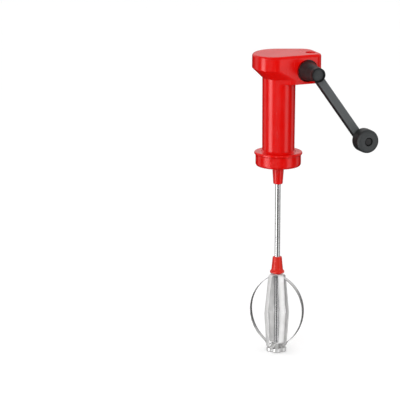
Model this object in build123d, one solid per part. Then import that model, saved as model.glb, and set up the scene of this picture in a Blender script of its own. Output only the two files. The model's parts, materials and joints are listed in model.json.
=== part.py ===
from build123d import *
import os
from math import acos, asin, atan2, cos, degrees, pi, radians, sin, sqrt, tan

# A hand-cranked drink mixer, in millimetres, standing upright on the foot of its whisk.
# +Z runs up the spindle and the origin is the middle of the foot's underside. The gear case
# reaches out toward +X and the crank stands out from its flat side toward -Y.

# ---- clearances shared by everything that fits together ----
running_clearance = 0.06      # radial, shaft in bearing
side_clearance = 0.3          # between bodies that turn past each other
seat_clearance = 0.1          # between plastic pieces pushed together
end_play = 0.1                # along a shaft
past = 1.0                    # how far a cut runs past what it cuts
edge_break = 0.6              # small rounding on moulded edges

# ---- spindle and whisk, from the foot up ----
rod_diameter = 6.0
rivet_diameter = 3.5
rivet_head_diameter = 4.8
rivet_head_thickness = 0.9
rivet_recess_depth = 1.2
rivet_edge_radius = 0.4
rod_top_chamfer = 0.5

foot_wall_height = 4.6
foot_wall = 0.8
foot_floor = 0.9
foot_edge_radius = 1.4
foot_lobes = 4
foot_lobe_radius = 5.2
foot_lobe_offset = 5.9
foot_pad_radius = 4.6
foot_pad_height = 2.2
foot_boss_radius = 2.4
foot_boss_height = 8.5
foot_turn = -24.0             # direction of the first lobe, degrees from +X

strip_width = 7.0
strip_thickness = 0.7
outer_loop_turn = -41.0       # direction of each loop's plane, degrees from +X
inner_loop_a_turn = 4.0
inner_loop_b_turn = -86.0

cage_height = 80.3            # from the rod's bottom shoulder to the cone's flange
outer_radius = 30.6           # widest half breadth of the outer loop
outer_widest_height = 48.0    # where the loop is widest, above the ground
outer_upper_arc = 42.4
outer_lower_arc = 46.0
outer_arc_end = 13.2          # half breadth where the lower arc runs into the dip
outer_dip_height = 7.0
outer_dip_inner = 7.4
outer_dip_outer = 9.6
outer_seat_reach = 5.3
outer_top_reach = 5.2         # half the flat under the cone
outer_arc_start = 9.5         # where the upper arc takes over from the flat's slope
outer_top_corner = 3.0
outer_dip_corner = 1.2

inner_top_reach = 9.0
inner_kink_reach = 14.0
inner_kink_height = 44.0
inner_kink_corner = 5.0
inner_top_corner = 2.6
inner_a_bottom_reach = 11.0
inner_a_dip_height = 5.1
inner_a_dip_inner = 5.4
inner_a_seat_reach = 3.0
inner_a_dip_corner = 0.9
inner_b_bottom_reach = 10.6
inner_bottom_corner = 3.2

whisk_washer_radius = 4.4
whisk_washer_thickness = 1.0

cone_length = 18.0
cone_top_radius = 5.1
cone_waist_radius = 6.5
cone_flange_radius = 8.0
cone_flange_thickness = 3.4
cone_flange_rim = 1.7
cone_neck_radius = 4.3
cone_neck_length = 1.6

rod_exposed_length = 83.4     # bare rod between the cone and the nozzle

# ---- bottom cap and nozzle ----
nozzle_length = 20.6
nozzle_end_radius = 5.3
nozzle_waist_radius = 6.3
nozzle_root_radius = 8.6
nozzle_flare_height = 6.0
nozzle_flare_out = 0.25       # a point on the flare: share of its spread and of its height
nozzle_flare_up = 0.62
nozzle_lip = 0.5
cap_depth = 13.1
cap_radius = 25.3
cap_wall = 2.2
cap_edge_radius = 3.2
spigot_length = 8.0
spigot_wall = 2.2
lower_bush_outer_radius = 4.1
lower_bush_length = 13.0
lower_bush_shoulder = 0.5
seal_length = 2.4
seal_recess = 0.4
seal_gap = 0.1

# ---- guard flange and grip ----
flange_radius = 26.8
flange_thickness = 3.4
flange_rounding = 1.6
flange_root_radius = 1.5
grip_length = 83.7
grip_bottom_radius = 18.0
grip_top_radius = 18.5
grip_bore_radius = 15.5

# ---- head: neck cone, gear case and lid ----
neck_rise = 11.2
head_wall_height = 15.8
neck_rim_radius = 1.2         # edge between the neck and the head's wall
neck_turn = 10.0              # degrees of the head's curve that meet the case's straight side
neck_extra_wall = 3.0
head_radius = 30.0
case_depth = 32.7
case_end_room = 1.3625        # between the large spur gear and the case's far wall
crank_side = 23.0             # flat side that carries the crank, from the spindle
far_side_taper = 22.0         # degrees
case_corner_radius = 9.0
case_far_corner_radius = 15.0
head_blend_radius = 20.0
case_throat_x = 6.0           # where the flat side starts below the neck
case_throat_far_x = 12.0
case_throat_radius = 25.0
case_throat_far_radius = 10.0
case_edge_radius = 1.2
case_wall = 2.2
case_floor = 2.2
lid_thickness = 3.4
lid_edge_radius = 2.9
lid_lip_depth = 1.0
lid_lip_width = 1.4
lid_boss_depth = 1.2
lid_boss_radius = 5.5
plug_recess_radius = 5.6
plug_recess_depth = 1.9
plug_radius = 5.0
plug_height = 0.7
plug_dome = 0.35
plug_inset = 9.8              # from the head's far end
plug_y = -8.4

# ---- case screws ----
end_screw_inset = 6.6         # from the case's far end
end_screw_side_inset = 6.8    # from its flat side
near_screw_x = 9.5
near_screw_side_inset = 6.5
far_screw_x = 10.0
far_screw_y = 17.5
screw_hole_radius = 1.5
screw_head_radius = 2.6
screw_head_height = 2.2
screw_head_recess = 3.4
screw_post_radius = 3.2
screw_length = 21.0
screw_shank_radius = 1.3
screw_point_length = 1.5
screw_head_top_radius = 2.1
screw_head_rim = 0.9
screw_slot_length = 3.1
screw_slot_width = 0.9
screw_slot_depth = 0.7
lid_post_radius = 2.9
post_joint_height = 11.5      # top of the case posts, above the case floor

# ---- gear train ----
spur_module = 1.25
lay_teeth = 24
rod_teeth = 15
spur_width = 3.4
spur_fill = 0.90              # tooth thickness as a share of half a pitch
spur_addendum = 0.85
spur_dedendum = 1.15
bevel_module = 0.95
crank_teeth = 18
pinion_teeth = 9
bevel_face = 3.0
bevel_fill = 0.80
bevel_addendum = 0.70
bevel_dedendum = 0.95
bevel_flank_angle = 22.0
pressure_angle = 20.0
tooth_sink = 0.2              # how deep a bevel tooth's foot sits in its gear, in modules
bevel_back_slope = 0.6
bevel_back_inset = 0.1
gear_hole_count = 6
gear_hole_inset = 0.7
gear_hole_share = 0.32        # hole radius as a share of the radius of the holes' circle
crank_drop = 17.5             # crank axis below the top of the lid

lay_diameter = 4.0
lay_boss_radius = 4.5
lay_boss_height = 2.4
lay_socket_depth = 3.5
lay_top_socket = 3.0
lay_washer_thickness = 0.5
lay_washer_radius = 4.3
lay_hub_radius = 4.4

rod_boss_radius = 7.4
rod_boss_below = 5.3
rod_boss_above = 3.5
upper_bush_outer_radius = 4.6
upper_bush_flange_radius = 6.4
upper_bush_flange_thickness = 1.0
rod_hub_radius = 5.5
rod_top_socket = 3.0
pinion_pin_radius = 0.8
pinion_pin_height = 6.0       # above the bottom of the pinion's hub
rod_clip_radius = 5.0
rod_clip_thickness = 0.8
rod_groove_depth = 0.4

# ---- crank ----
axle_diameter = 5.0
axle_tip = 3.7                # inner end of the axle, from the plane of the spindle
recess_radius = 12.5
recess_depth = 1.6
recess_pad_thickness = 0.9
recess_pad_margin = 1.4
crank_boss_radius = 6.6
crank_boss_reach = 12.6       # inner end of the bearing boss, from the plane of the spindle
crank_bush_outer_radius = 4.2
crank_bush_flange_radius = 6.4
crank_bush_flange_thickness = 0.7
bevel_hub_radius = 5.6
bevel_web = 1.9
bevel_pin_radius = 0.7
bevel_pin_inset = 1.6
hub_base_radius = 11.3
arm_back = 37.5               # back and front face of the arm, from the plane of the spindle
arm_front = 46.8
arm_width = 9.3
arm_throw = 95.0
arm_drop = 54.0               # degrees below horizontal at rest
eye_back_radius = 9.2
eye_front_radius = 8.1
arm_end_radius = 6.4
arm_edge_radius = 0.9
arm_pocket_start = 14.0
arm_pocket_margin = 10.0
arm_pocket_wall = 1.8
arm_pocket_floor = 2.4
arm_pocket_count = 5
arm_rib = 1.4
hub_cap_thickness = 2.4
hub_cap_edge = 1.5
hub_cap_spigot = 1.0
eye_bore_radius = 4.4
eye_bore_depth = 3.6
hub_screw_radius = 1.5
hub_screw_length = 7.0
hub_screw_head_radius = 3.8
hub_screw_head_height = 2.0

# ---- knob ----
knob_radius = 13.2
knob_length = 18.0
knob_edge_radius = 4.5
knob_back_edge_radius = 3.2
knob_recess_radius = 4.9
knob_recess_depth = 3.4
knob_pocket_inner = 6.0
knob_pocket_outer = 9.4
knob_pocket_depth = 12.5
knob_pin_radius = 2.6
knob_pin_tail_radius = 2.0
knob_pin_tail_length = 7.5
knob_pin_head_radius = 4.2
knob_pin_head_height = 1.6
knob_pin_head_edge = 0.7
knob_washer_radius = 5.6
knob_washer_thickness = 0.5

# ---- places worked out from the sizes above ----
rod_radius = rod_diameter / 2
rivet_radius = rivet_diameter / 2
axle_radius = axle_diameter / 2
lay_radius = lay_diameter / 2
rod_shoulder = foot_boss_height + 3 * strip_thickness
cone_bottom = rod_shoulder + cage_height
cone_top = cone_bottom + cone_length
nozzle_bottom = cone_top + rod_exposed_length
cap_bottom = nozzle_bottom + nozzle_length
flange_bottom = cap_bottom + cap_depth
flange_top = flange_bottom + flange_thickness
neck_bottom = flange_top + grip_length
neck_top = neck_bottom + neck_rise
head_top = neck_top + head_wall_height
lid_bottom = head_top - lid_thickness
case_bottom = head_top - case_depth
floor_top = case_bottom + case_floor
rod_boss_bottom = case_bottom - rod_boss_below
rod_boss_top = floor_top + rod_boss_above
lid_boss_bottom = lid_bottom - lid_boss_depth
spur_top = lid_boss_bottom - 2 * end_play
spur_bottom = spur_top - spur_width
lay_offset = spur_module * (lay_teeth + rod_teeth) / 2
lay_gear_radius = spur_module * (lay_teeth / 2 + spur_addendum)
case_reach = lay_offset + lay_gear_radius + case_end_room + case_wall
plug_x = case_reach - plug_inset
screw_places = [
    (case_reach - end_screw_inset, end_screw_side_inset - crank_side),
    (far_screw_x, far_screw_y),
    (near_screw_x, near_screw_side_inset - crank_side),
]
crank_height = head_top - crank_drop
neck_seat = cone_bottom - cone_neck_length
strip_seats = [neck_seat - place * strip_thickness for place in range(3)]
recess_floor = crank_side - recess_depth
hub_base = recess_floor + crank_bush_flange_thickness + side_clearance
hub_cap_front = arm_front + hub_cap_thickness
knob_back = arm_front + knob_washer_thickness + end_play
knob_front = knob_back + knob_length
knob_shoulder = knob_front - knob_recess_depth + end_play
crank_teeth_radius = bevel_module * crank_teeth / 2
pinion_teeth_radius = bevel_module * pinion_teeth / 2
lay_boss_top = floor_top + lay_boss_height
lay_hub_bottom = lay_boss_top + lay_washer_thickness + end_play

# local Z of the crank's frame points away from the head, local X along the gear case
crank_place = Plane(origin=(lay_offset, 0, crank_height), x_dir=(1, 0, 0), z_dir=(0, -past, 0)).location
arm_place = crank_place * Rot(0, 0, -arm_drop)


def disc(radius, bottom, top, x=0.0, y=0.0):
    """An upright cylinder between two heights."""
    return Pos(x, y, (bottom + top) / 2) * Cylinder(radius, top - bottom)


def ring(outer, inner, bottom, top, x=0.0, y=0.0):
    """An upright tube between two heights."""
    return disc(outer, bottom, top, x, y) - disc(inner, bottom, top, x, y)


def slab(plan, bottom, top):
    """A plan shape raised between two heights."""
    return Pos(0, 0, bottom) * extrude(plan, top - bottom, dir=(0, 0, 1))


def closed_face(*points):
    """A flat face inside a closed run of straight lines."""
    return make_face(Polyline(*points, close=True))


def turned(*points):
    """A solid of revolution about Z from (radius, height) points."""
    return revolve(closed_face(*[(radius, 0, height) for radius, height in points]), Axis.Z)


def rim_edges(solid, radius, height, reach=0.01):
    """The round edges of a turned solid at one radius and height."""
    return [
        edge
        for edge in solid.edges().filter_by(GeomType.CIRCLE)
        if abs(edge.radius - radius) < reach and abs(edge.center().Z - height) < reach
    ]


# ---------------------------------------------------------------- head and grip


def keep_crank_side(plan, side):
    """Cut a plan off along the flat side that carries the crank."""
    span = 4 * case_reach
    return plan & (Pos(0, span / 2 - side) * Rectangle(2 * span, span))


def corner_at(plan, x, y):
    """The plan's corner nearest to a point."""
    return plan.vertices().sort_by_distance(Vector(x, y, 0))[0]


def taper_line(x):
    """The far side of the gear case: its distance from the crank axis plane at a given x."""
    touch = radians(90 - far_side_taper)
    drop = (x - head_radius * cos(touch)) * tan(radians(far_side_taper))
    return head_radius * sin(touch) - drop


def head_plan():
    """The head from above: round on the spindle, flat toward the crank, tapering behind."""
    touch = radians(90 - far_side_taper)
    wedge = closed_face(
        (0, -crank_side),
        (case_reach, -crank_side),
        (case_reach, taper_line(case_reach)),
        (head_radius * cos(touch), head_radius * sin(touch)),
        (0, 0),
    )
    plan = keep_crank_side(Circle(head_radius) + wedge, crank_side)
    left = -sqrt(head_radius**2 - crank_side**2)
    plan = fillet(corner_at(plan, left, -crank_side), head_blend_radius)
    plan = fillet(corner_at(plan, case_reach, -crank_side), case_corner_radius)
    return fillet(corner_at(plan, case_reach, taper_line(case_reach)), case_far_corner_radius)


def case_plan():
    """The gear case below the neck: it grows out of the grip and keeps the head's far end."""
    near_touch = tangent_point(case_throat_x, -crank_side, -1)
    far_touch = tangent_point(case_throat_far_x, taper_line(case_throat_far_x), 1)
    wedge = closed_face(
        near_touch,
        (case_throat_x, -crank_side),
        (case_reach, -crank_side),
        (case_reach, taper_line(case_reach)),
        (case_throat_far_x, taper_line(case_throat_far_x)),
        far_touch,
    )
    plan = Circle(grip_top_radius) + wedge
    plan = fillet(corner_at(plan, case_reach, -crank_side), case_corner_radius)
    plan = fillet(corner_at(plan, case_reach, taper_line(case_reach)), case_far_corner_radius)
    plan = fillet(corner_at(plan, case_throat_x, -crank_side), case_throat_radius)
    far_corner = corner_at(plan, case_throat_far_x, taper_line(case_throat_far_x))
    return fillet(far_corner, case_throat_far_radius)


def tangent_heading(x, y, side):
    """Direction from the spindle to where a line from a point outside touches the grip's circle."""
    return atan2(y, x) + side * acos(grip_top_radius / sqrt(x * x + y * y))


def tangent_point(x, y, side):
    """Where a line from a point outside touches the grip's circle, on the side away from +X."""
    angle = tangent_heading(x, y, side)
    return grip_top_radius * cos(angle), grip_top_radius * sin(angle)


def arc(radius, start, end, x=0.0, y=0.0):
    """Part of a circle between two directions in degrees."""
    return CenterArc((x, y, 0), radius, start, end - start).edges()[0]


def edges_from_flat_side(plan):
    """A plan's edges in order round it, from its flat side on."""
    edges = list(plan.face().outer_wire().order_edges())
    flat = max(range(len(edges)), key=lambda place: -edges[place].center().Y)
    return edges[flat:] + edges[:flat]


def neck_solid():
    """The sloping underside of the head: each part of the case's outline rises to its part above.

    The two outlines share their directions, so each strip between them is smooth, and the flat
    side runs out to a slanting edge instead of a step.
    """
    full_turn = 360
    near = degrees(tangent_heading(case_throat_x, -crank_side, -1)) + full_turn
    far = degrees(tangent_heading(case_throat_far_x, taper_line(case_throat_far_x), 1))
    blend_y = head_blend_radius - crank_side
    blend_x = -sqrt((head_radius - head_blend_radius) ** 2 - blend_y**2)
    join = degrees(atan2(blend_y, blend_x)) + full_turn
    flat_heading = 0.75 * full_turn
    above = edges_from_flat_side(head_plan())[:5] + [
        arc(head_radius, 90 - far_side_taper, far - neck_turn / 2),
        arc(head_radius, far - neck_turn / 2, far),
        arc(head_radius, far, join),
        arc(head_blend_radius, join, near, blend_x, blend_y),
        arc(head_blend_radius, near, near + neck_turn, blend_x, blend_y),
        arc(head_blend_radius, near + neck_turn, flat_heading, blend_x, blend_y),
    ]
    below = edges_from_flat_side(case_plan())
    below[7:8] = [arc(grip_top_radius, far, join), arc(grip_top_radius, join, near)]
    top = Pos(0, 0, neck_top) * make_face(Wire(above))
    bottom = Pos(0, 0, neck_bottom) * make_face(Wire(below))
    return loft([bottom, top], ruled=True)


def neck_hollow(bottom_radius, top_radius, side):
    """The cone-shaped space inside the neck, cut off at the flat side."""
    cone = Pos(0, 0, (neck_bottom + neck_top) / 2) * Cone(bottom_radius, top_radius, neck_rise)
    span = 4 * head_radius
    return cone & (Pos(0, span / 2 - side, neck_top) * Box(2 * span, span, span))


def guard_flange():
    """The round guard at the foot of the grip, with the spigot that the cap goes over."""
    flange = disc(flange_radius, flange_bottom, flange_top)
    flange = fillet(rim_edges(flange, flange_radius, flange_bottom), flange_rounding)
    flange = fillet(rim_edges(flange, flange_radius, flange_top), flange_rounding)
    spigot_radius = cap_radius - cap_wall - seat_clearance
    return flange + ring(
        spigot_radius, spigot_radius - spigot_wall, flange_bottom - spigot_length, flange_bottom
    )


def grip_tube():
    """The tapered grip, with a small hollow at its foot where it meets the guard."""
    root = flange_root_radius
    outline = closed_face(
        (0, 0, flange_top),
        (grip_bottom_radius + root, 0, flange_top),
        (grip_bottom_radius, 0, flange_top + root),
        (grip_top_radius, 0, neck_bottom),
        (0, 0, neck_bottom),
    )
    return revolve(outline, Axis.Z)


def case_spaces():
    """The spaces inside the gear case, the head and the neck."""
    low = offset(case_plan(), -case_wall)
    high = offset(head_plan(), -case_wall)
    slope_top = head_radius - case_wall - neck_extra_wall
    slope = neck_hollow(grip_top_radius - case_wall, slope_top, crank_side - case_wall)
    return slab(low, floor_top, lid_bottom), slab(high, neck_top, lid_bottom), slope


def crank_seat():
    """Plastic added inside the flat wall for the crank: a pad behind the recess and a boss."""
    wall_face = crank_side - case_wall
    pad = disc(recess_radius + recess_pad_margin, wall_face - recess_pad_thickness, wall_face)
    boss = disc(crank_boss_radius, crank_boss_reach, wall_face)
    room_top = lid_bottom - lid_lip_depth - seat_clearance
    room = slab(offset(case_plan(), -case_wall / 2), floor_top, room_top)
    return (crank_place * (pad + boss)) & room


def crank_cuts():
    """The shallow recess round the crank's hub and the hole for its bush."""
    recess = disc(recess_radius, recess_floor, crank_side + case_wall)
    hole = disc(crank_bush_outer_radius, crank_boss_reach - past, crank_side)
    return crank_place * (recess + hole)


def case_post(x, y):
    """A screw post on the case floor."""
    return disc(screw_post_radius, case_bottom + case_floor / 2, floor_top + post_joint_height, x, y)


def case_post_hole(x, y):
    """The hole through a case post, with the recess that hides the screw's head."""
    top = floor_top + post_joint_height
    hole = disc(screw_hole_radius, case_bottom - past, top + past, x, y)
    head_room = screw_head_radius + seat_clearance
    return hole + disc(head_room, case_bottom - past, case_bottom + screw_head_recess, x, y)


def neck_rim(solid, reach=0.01):
    """The round edges where the neck meets the head's wall, away from the gear case."""
    return [
        edge
        for edge in solid.edges()
        if edge.center().X < 0 and all(abs((edge @ place).Z - neck_top) < reach for place in (0, 0.5, 1))
    ]


def body_outside():
    """The outer form of the head, gear case, grip and guard flange."""
    case = slab(case_plan(), case_bottom, neck_bottom)
    case = fillet(case.faces().sort_by(Axis.Z)[0].edges(), case_edge_radius)
    outside = case + neck_solid() + slab(head_plan(), neck_top, lid_bottom)
    outside += grip_tube() + guard_flange()
    return fillet(neck_rim(outside), neck_rim_radius)


def make_body_shell():
    """Head, gear case, grip and guard flange: one hollow moulding, open at top and bottom."""
    shell = body_outside()
    for space in case_spaces():
        shell -= space
    shell -= disc(grip_bore_radius, flange_bottom - past, case_bottom)
    shell += crank_seat()
    shell += disc(rod_boss_radius, rod_boss_bottom, rod_boss_top)
    shell += disc(lay_boss_radius, case_bottom + case_floor / 2, lay_boss_top, lay_offset)
    for x, y in screw_places:
        shell += case_post(x, y)
    for x, y in screw_places:
        shell -= case_post_hole(x, y)
    shell -= crank_cuts()
    shell -= disc(upper_bush_outer_radius, rod_boss_bottom - past, rod_boss_top + past)
    socket = lay_radius + running_clearance
    shell -= disc(socket, lay_boss_top - lay_socket_depth, lay_boss_top + past, lay_offset)
    return shell


def lid_lip():
    """The low rim under the lid that drops inside the case wall."""
    outer = offset(head_plan(), -case_wall - seat_clearance)
    inner = offset(head_plan(), -case_wall - seat_clearance - lid_lip_width)
    return slab(outer - inner, lid_bottom - lid_lip_depth, lid_bottom)


def make_top_cover():
    """The flat lid: rounded edge, rim, screw posts, two bearing bosses and the plug's recess."""
    lid = slab(head_plan(), lid_bottom, head_top)
    lid = fillet(lid.faces().sort_by(Axis.Z)[-1].edges(), lid_edge_radius)
    lid += lid_lip()
    lid += disc(lid_boss_radius, lid_boss_bottom, lid_bottom)
    lid += disc(lid_boss_radius, lid_boss_bottom, lid_bottom, lay_offset)
    post_bottom = floor_top + post_joint_height
    for x, y in screw_places:
        lid += disc(lid_post_radius, post_bottom, lid_bottom, x, y)
        lid -= disc(screw_shank_radius, post_bottom - past, screw_tip() + past, x, y)
    lid -= disc(rod_radius + running_clearance, lid_boss_bottom - past, lid_boss_bottom + rod_top_socket)
    lay_hole = disc(lay_radius + running_clearance, lid_boss_bottom - past, lid_boss_bottom + lay_top_socket)
    lid -= Pos(lay_offset, 0, 0) * lay_hole
    lid -= disc(plug_recess_radius, head_top - plug_recess_depth, head_top + past, plug_x, plug_y)
    return lid


def make_oil_plug():
    """A low round plug on the floor of the lid's recess."""
    floor = head_top - plug_recess_depth
    plug = disc(plug_radius, floor, floor + plug_height)
    plug = fillet(rim_edges(plug, plug_radius, floor + plug_height), plug_dome)
    return Pos(plug_x, plug_y, 0) * plug


def screw_tip():
    """Height of the case screws' points."""
    return case_bottom + screw_head_recess + screw_length


def make_case_screws():
    """The screws that hold the lid, put in from below."""
    seat = case_bottom + screw_head_recess
    screw = turned(
        (0, seat - screw_head_height),
        (screw_head_top_radius, seat - screw_head_height),
        (screw_head_radius, seat - screw_head_height + screw_head_rim),
        (screw_head_radius, seat),
        (screw_shank_radius, seat),
        (screw_shank_radius, screw_tip() - screw_point_length),
        (screw_shank_radius / 3, screw_tip()),
        (0, screw_tip()),
    )
    slot = Box(screw_slot_length, screw_slot_width, 2 * screw_slot_depth)
    cross = slot + Rot(0, 0, 90) * slot
    screw -= Pos(0, 0, seat - screw_head_height) * cross
    return Compound(children=[Pos(x, y, 0) * screw.solid() for x, y in screw_places])


# ---------------------------------------------------------------- bottom cap


def nozzle_solid():
    """The nozzle under the cap: a hollow flare that runs into a slim taper."""
    waist = cap_bottom - nozzle_flare_height
    bend = (nozzle_root_radius - nozzle_waist_radius) * nozzle_flare_out
    flare = ThreePointArc(
        (nozzle_waist_radius, 0, waist),
        (nozzle_waist_radius + bend, 0, waist + nozzle_flare_height * nozzle_flare_up),
        (nozzle_root_radius, 0, cap_bottom),
    )
    rest = Polyline(
        (nozzle_root_radius, 0, cap_bottom),
        (0, 0, cap_bottom),
        (0, 0, nozzle_bottom),
        (nozzle_end_radius - nozzle_lip, 0, nozzle_bottom),
        (nozzle_end_radius, 0, nozzle_bottom + nozzle_lip),
        (nozzle_waist_radius, 0, waist),
    )
    return revolve(make_face(flare + rest), Axis.Z)


def lower_bush_top():
    """Height of the lower bush's upper end."""
    return nozzle_bottom + seal_recess + seal_length + lower_bush_length


def make_bottom_cap():
    """The cup over the spigot, with its nozzle."""
    cup = disc(cap_radius, cap_bottom, flange_bottom)
    cup = fillet(rim_edges(cup, cap_radius, cap_bottom), cap_edge_radius)
    cup -= disc(cap_radius - cap_wall, cap_bottom + cap_wall, flange_bottom + past)
    cup += nozzle_solid()
    cup -= disc(lower_bush_outer_radius, nozzle_bottom - past, lower_bush_top())
    throat = lower_bush_outer_radius - lower_bush_shoulder
    return cup - disc(throat, nozzle_bottom, cap_bottom + cap_wall + past)


def make_rod_lower_bush():
    """The plain bush in the nozzle."""
    return ring(
        lower_bush_outer_radius,
        rod_radius + running_clearance,
        nozzle_bottom + seal_recess + seal_length,
        lower_bush_top(),
    )


def make_nozzle_seal():
    """The soft ring that keeps liquid out of the nozzle."""
    bottom = nozzle_bottom + seal_recess
    return ring(lower_bush_outer_radius, rod_radius + seal_gap, bottom, bottom + seal_length)


def make_rod_upper_bush():
    """The flanged bush in the floor of the gear case."""
    top = rod_boss_top + upper_bush_flange_thickness
    bush = disc(upper_bush_outer_radius, rod_boss_bottom, rod_boss_top)
    bush += disc(upper_bush_flange_radius, rod_boss_top, top)
    return bush - disc(rod_radius + running_clearance, rod_boss_bottom - past, top + past)


def make_crank_bush():
    """The flanged bush in the flat side of the case."""
    bush = disc(crank_bush_outer_radius, crank_boss_reach, recess_floor)
    bush += disc(crank_bush_flange_radius, recess_floor, recess_floor + crank_bush_flange_thickness)
    bush -= disc(axle_radius + running_clearance, crank_boss_reach - past, crank_side)
    return crank_place * bush


def make_lay_washer():
    """The thrust washer on the lay shaft's bottom boss."""
    return ring(
        lay_washer_radius,
        lay_radius + running_clearance,
        lay_boss_top,
        lay_boss_top + lay_washer_thickness,
        lay_offset,
    )


# ---------------------------------------------------------------- gears


def involute(radius, base):
    """The involute of the pressure angle at a radius."""
    angle = acos(min(1.0, base / radius))
    return tan(angle) - angle


def tooth_half_angle(radius, teeth):
    """Half the angle that a spur tooth covers at a radius, seen from the gear's axis."""
    pitch = spur_module * teeth / 2
    base = pitch * cos(radians(pressure_angle))
    at_pitch = pi / (2 * teeth) * spur_fill
    return at_pitch + involute(pitch, base) - involute(max(radius, base), base)


def spur_plan(teeth, first):
    """The outline of a spur gear; first is the middle of one tooth, as a share of the pitch."""
    pitch = spur_module * teeth / 2
    radii = [pitch - spur_dedendum * spur_module, pitch, pitch + spur_addendum * spur_module]
    halves = [tooth_half_angle(radius, teeth) for radius in radii]
    edges = []
    last_root = None
    first_root = None
    for tooth in range(teeth):
        middle = 2 * pi * (tooth + first) / teeth
        rising = [polar(radius, middle - half) for radius, half in zip(radii, halves)]
        falling = [polar(radius, middle + half) for radius, half in zip(radii, halves)]
        if last_root:
            edges.append(Line(last_root, rising[0]))
        first_root = first_root or rising[0]
        edges.append(ThreePointArc(*rising))
        edges.append(Line(rising[2], falling[2]))
        edges.append(ThreePointArc(*falling[::-1]))
        last_root = falling[0]
    edges.append(Line(last_root, first_root))
    return make_face(edges)


def polar(radius, angle):
    """A point from its radius and angle."""
    return radius * cos(angle), radius * sin(angle)


def bevel_tooth(teeth, mate_teeth):
    """One straight bevel tooth on +X: it shrinks toward the point where the two axes meet."""
    pitch = bevel_module * teeth / 2
    depth = bevel_module * mate_teeth / 2
    slant = sqrt(pitch**2 + depth**2)
    small = (slant - bevel_face) / slant
    half_pitch = pi * bevel_module / 4 * bevel_fill
    lean = tan(radians(bevel_flank_angle))
    tip = bevel_addendum * bevel_module
    root = -(bevel_dedendum + tooth_sink) * bevel_module

    def corner(height, side):
        """A corner of the tooth's big end, at a height above the pitch cone."""
        across = side * (half_pitch - height * lean)
        return pitch + height * depth / slant, across, depth - height * pitch / slant

    big = [corner(root, -1), corner(tip, -1), corner(tip, 1), corner(root, 1)]
    little = [(x * small, y * small, z * small) for x, y, z in big]
    return loft([closed_face(*big), closed_face(*little)], ruled=True)


def bevel_gear(teeth, mate_teeth, first_angle, back):
    """A bevel gear on Z with its cone's point at the origin; back lists the body's back outline."""
    pitch = bevel_module * teeth / 2
    depth = bevel_module * mate_teeth / 2
    slant = sqrt(pitch**2 + depth**2)
    small = (slant - bevel_face) / slant
    root = bevel_dedendum * bevel_module
    root_radius = pitch - root * depth / slant
    root_height = depth + root * pitch / slant
    gear = turned(
        (0, root_height * small),
        (root_radius * small, root_height * small),
        (root_radius, root_height),
        *back,
    )
    tooth = bevel_tooth(teeth, mate_teeth)
    for turn in range(teeth):
        gear += Rot(0, 0, first_angle + 360 * turn / teeth) * tooth
    return gear


def make_crank_bevel():
    """The larger bevel gear, on the inner end of the crank's axle."""
    tooth_back = crank_teeth_radius - bevel_back_inset
    mid = crank_boss_reach - end_play
    rim = pinion_teeth_radius + bevel_module + bevel_web
    back = [(tooth_back, pinion_teeth_radius + bevel_module), (tooth_back, rim),
            (bevel_hub_radius, rim + bevel_back_slope), (bevel_hub_radius, mid), (0, mid)]
    half_pitch = 180 / crank_teeth
    gear = bevel_gear(crank_teeth, pinion_teeth, -90 + half_pitch, back)
    gear -= disc(axle_radius, 0, mid + past)
    return crank_place * (gear - bevel_pin_solid())


def bevel_pin_solid():
    """The cross pin through the gear's hub and the axle, in the crank's frame."""
    height = crank_boss_reach - end_play - bevel_pin_inset
    return Pos(0, 0, height) * Rot(90, 0, 0) * Cylinder(bevel_pin_radius, 2 * bevel_hub_radius)


def make_lay_bevel():
    """The small bevel pinion at the foot of the lay shaft."""
    back_height = crank_height - lay_hub_bottom
    pitch = pinion_teeth_radius
    collar = crank_teeth_radius + bevel_module
    slope = crank_teeth_radius + bevel_back_slope
    back = [(pitch, slope), (lay_hub_radius, collar), (lay_hub_radius, back_height), (0, back_height)]
    gear = bevel_gear(pinion_teeth, crank_teeth, 90, back)
    gear -= disc(lay_radius, 0, back_height + past)
    down = Plane(origin=(lay_offset, 0, crank_height), x_dir=(1, 0, 0), z_dir=(0, 0, -1))
    return down.location * gear


def make_lay_shaft():
    """The upright shaft between the crank's bevel gear and the spur gears."""
    bottom = lay_boss_top - lay_socket_depth + end_play
    top = lid_boss_bottom + lay_top_socket - 3 * end_play
    return disc(lay_radius, bottom, top, lay_offset)


def make_lay_gear():
    """The larger spur gear, with lightening holes."""
    gear = slab(spur_plan(lay_teeth, 0), spur_bottom, spur_top)
    hole_place = (spur_module * lay_teeth / 2 + lay_radius) / 2 + gear_hole_inset
    for place in PolarLocations(hole_place, gear_hole_count):
        gear -= place * disc(hole_place * gear_hole_share, spur_bottom - past, spur_top + past)
    gear -= disc(lay_radius, spur_bottom - past, spur_top + past)
    return Pos(lay_offset, 0, 0) * gear


def rod_hub_bottom():
    """Height where the rod pinion's hub runs on the upper bush."""
    return rod_boss_top + upper_bush_flange_thickness + end_play


def pinion_pin_solid():
    """The cross pin through the rod pinion's hub and the rod."""
    height = rod_hub_bottom() + pinion_pin_height
    return Pos(0, 0, height) * Rot(90, 0, 0) * Cylinder(pinion_pin_radius, 2 * rod_hub_radius)


def make_rod_pinion():
    """The smaller spur gear and its long hub, on the rod."""
    gear = slab(spur_plan(rod_teeth, 0.5), spur_bottom, spur_top)
    gear += disc(rod_hub_radius, rod_hub_bottom(), spur_bottom)
    gear -= disc(rod_radius, rod_hub_bottom() - past, spur_top + past)
    return gear - pinion_pin_solid()


# ---------------------------------------------------------------- crank and knob


def make_crank_axle():
    """The steel axle, from the bevel gear to the screw in the arm's eye."""
    end = arm_front - eye_bore_depth
    axle = disc(axle_radius, axle_tip, end)
    axle -= disc(hub_screw_radius, end - hub_screw_length, end + past)
    return crank_place * (axle - bevel_pin_solid())


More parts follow.
